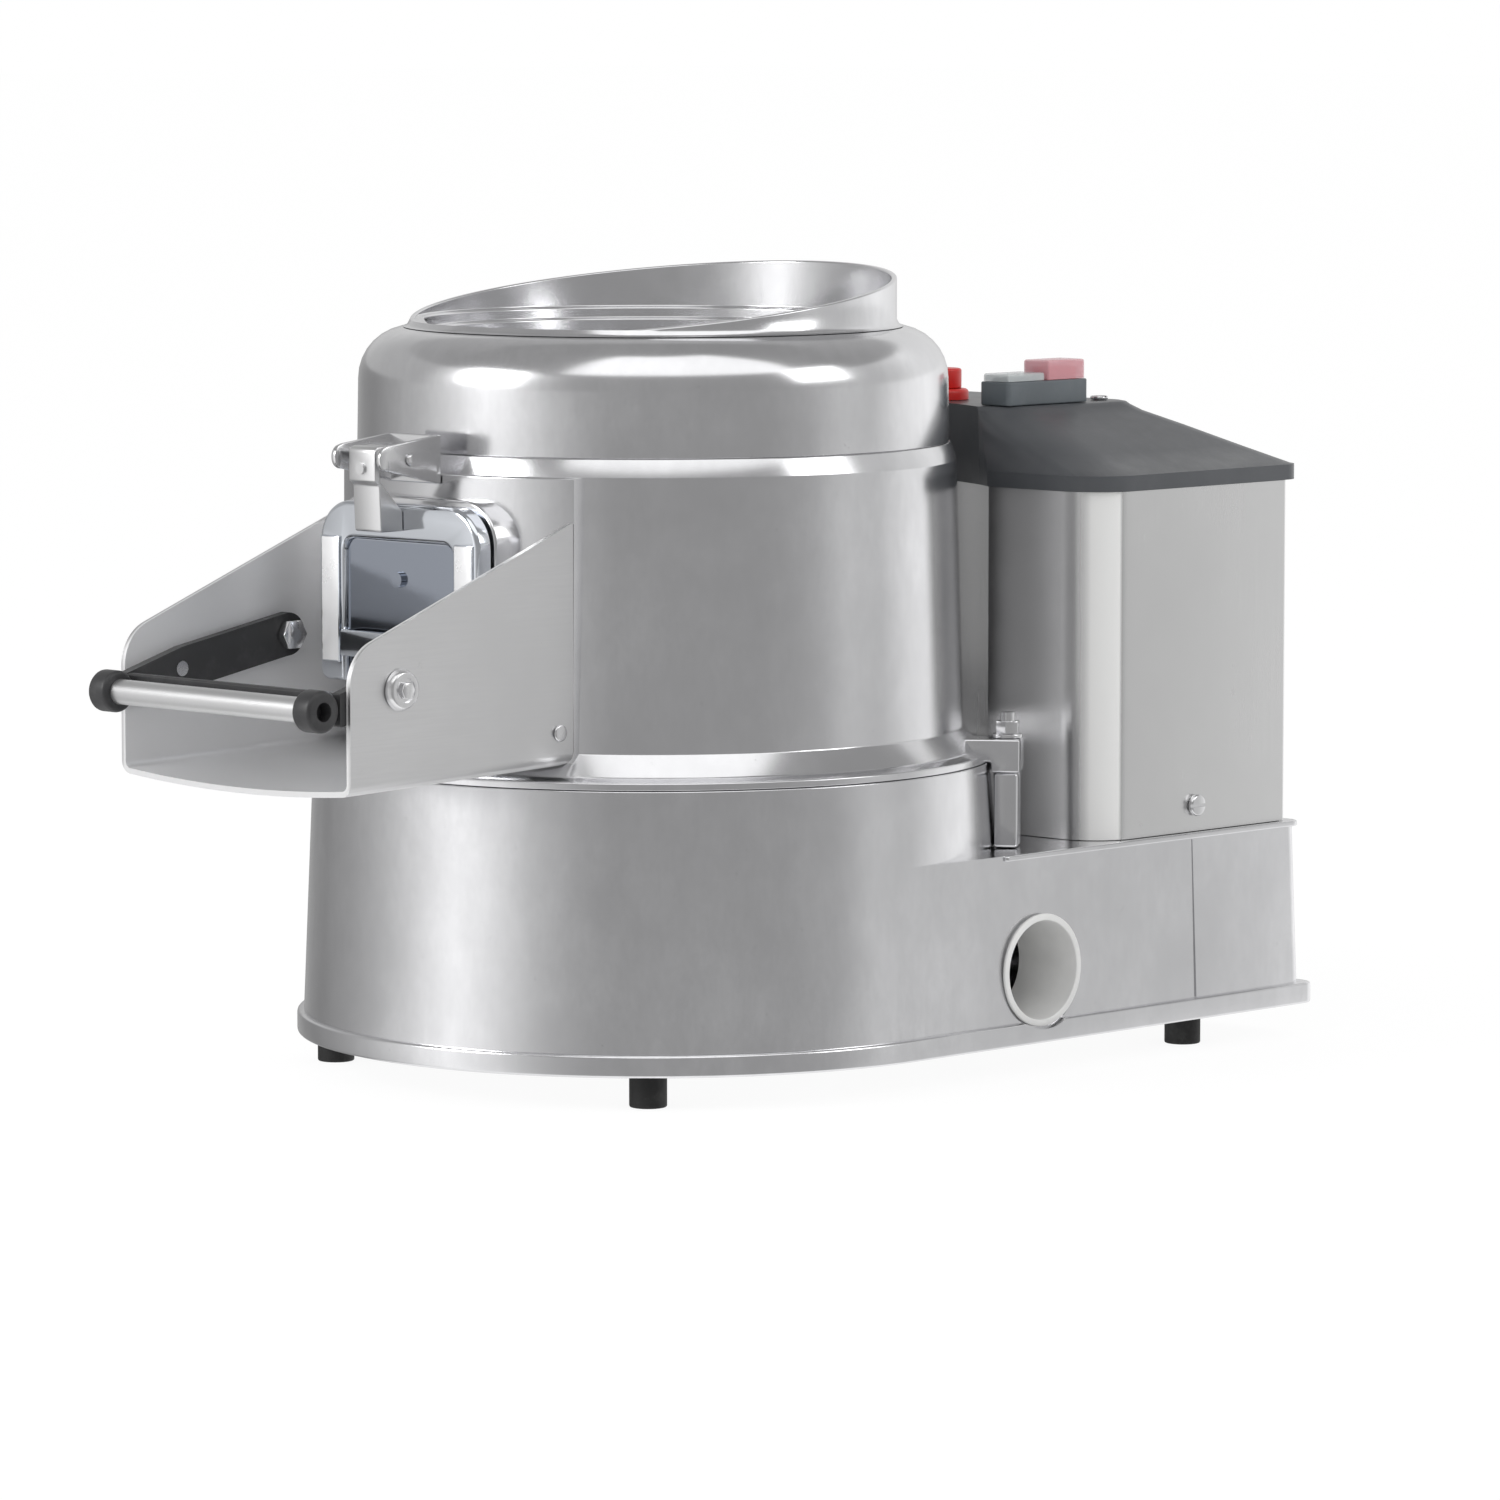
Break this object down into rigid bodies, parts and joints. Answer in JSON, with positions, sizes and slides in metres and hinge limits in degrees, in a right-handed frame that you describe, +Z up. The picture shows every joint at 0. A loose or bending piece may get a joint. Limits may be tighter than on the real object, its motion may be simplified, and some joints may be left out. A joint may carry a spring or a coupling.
{
  "type": "countertop potato peeler machine",
  "caption": "Countertop rotary vegetable peeler: round cast bowl with tilted hopper mouth, front discharge chute with handle and door, boxed motor housing behind.",
  "frame": {"origin": "on the worktop, under the middle of the bounding box, on the plane of symmetry", "axes": "+Z up, -Y towards the discharge chute, +Y towards the motor housing, +X towards the drain outlet"},
  "size_m": [0.39, 0.662, 0.4328],
  "materials": {
    "cast": "satin cast aluminium, machined and brushed",
    "polished": "polished cast aluminium",
    "sheet": "satin aluminium sheet",
    "stainless": "brushed stainless sheet",
    "steel": "bright machined steel",
    "lid_plastic": "dark grey moulded plastic",
    "dark_plastic": "dark moulded plastic",
    "grey_plastic": "grey moulded plastic",
    "pale_plastic": "pale grey pipe plastic",
    "clear_plastic": "clear soft plastic cover",
    "red_plastic": "red moulded plastic",
    "rubber": "black rubber",
    "abrasive": "coarse abrasive grit"
  },
  "bodies": {
    "base": {"base_casting": "cast", "bottom_plate": "stainless", "foot_front_right": "rubber", "foot_front_left": "rubber", "foot_rear_right": "rubber", "foot_rear_left": "rubber", "drain_pipe": "pale_plastic", "spindle_housing": "cast", "lower_bearing": "steel", "upper_bearing": "steel", "shaft_seal": "rubber", "drive_belt": "rubber", "motor_body": "steel", "run_capacitor": "grey_plastic", "clamp_post_right": "cast", "clamp_post_left": "cast", "motor_cover": "stainless", "cover_screw_right": "steel", "cover_screw_left": "steel", "motor_lid": "lid_plastic", "lid_screw_1": "steel", "lid_screw_2": "steel", "lid_screw_3": "steel", "switch_housing": "grey_plastic", "start_button_cover": "clear_plastic", "stop_button_cover": "clear_plastic", "estop_collar": "red_plastic"},
    "bowl_group": {"bowl": "cast", "bowl_gasket": "rubber", "clamp_screw_right": "steel", "clamp_screw_left": "steel", "door_seal": "rubber", "hinge_bracket": "steel", "hinge_pin": "steel", "chute": "sheet", "pivot_bolt_right": "steel", "pivot_bolt_left": "steel", "chute_screw_right": "steel", "chute_screw_left": "steel"},
    "hood_group": {"hood": "cast"},
    "door_group": {"door": "polished", "door_strap": "sheet"},
    "handle_group": {"handle_yoke": "dark_plastic", "grip_tube": "sheet", "grip_cap_right": "dark_plastic", "grip_cap_left": "dark_plastic", "arm_bolt_right": "steel", "arm_bolt_left": "steel"},
    "disc_group": {"spindle": "steel", "driven_pulley": "cast", "abrasive_disc": "abrasive", "disc_knob": "dark_plastic", "waste_sweeper_a": "dark_plastic", "waste_sweeper_b": "dark_plastic"},
    "motor_rotor": {"motor_shaft": "steel", "motor_pulley": "steel"},
    "start_key": {"start_button": "grey_plastic"},
    "stop_key": {"stop_button": "red_plastic"},
    "estop_head": {"estop_knob": "red_plastic"}
  },
  "joints": [
    {"name": "bowl_lift", "type": "slide", "parent": "base", "child": "bowl_group", "axis": [0, 0, 1], "range_m": [0, 0.08]},
    {"name": "hood_lift", "type": "slide", "parent": "bowl_group", "child": "hood_group", "axis": [0, 0, 1], "range_m": [0, 0.06]},
    {"name": "door_swing", "type": "hinge", "parent": "bowl_group", "child": "door_group", "pos_m": [0, -0.1924, 0.338], "axis": [-1, 0, 0], "range_deg": [0, 50]},
    {"name": "handle_swing", "type": "hinge", "parent": "bowl_group", "child": "handle_group", "pos_m": [0, -0.2702, 0.2275], "axis": [-1, 0, 0], "range_deg": [0, 30]},
    {"name": "disc_spin", "type": "hinge", "parent": "base", "child": "disc_group", "pos_m": [0, 0.001, 0.2], "axis": [0, 0, 1], "continuous": true},
    {"name": "motor_spin", "type": "hinge", "parent": "base", "child": "motor_rotor", "pos_m": [0, 0.2524, 0.1], "axis": [0, 0, 1], "continuous": true},
    {"name": "start_press", "type": "slide", "parent": "base", "child": "start_key", "axis": [0, 0, -1], "range_m": [0, 0.003], "stiffness_N_per_m": 400, "springref_m": -0.002},
    {"name": "stop_press", "type": "slide", "parent": "base", "child": "stop_key", "axis": [0, 0, -1], "range_m": [0, 0.003], "stiffness_N_per_m": 400, "springref_m": -0.002},
    {"name": "estop_press", "type": "slide", "parent": "base", "child": "estop_head", "axis": [0, 0, -1], "range_m": [0, 0.004], "stiffness_N_per_m": 400, "springref_m": -0.002}
  ],
  "couplings": [
    {"joint": "motor_spin", "follows": "disc_spin", "ratio": 4}
  ]
}
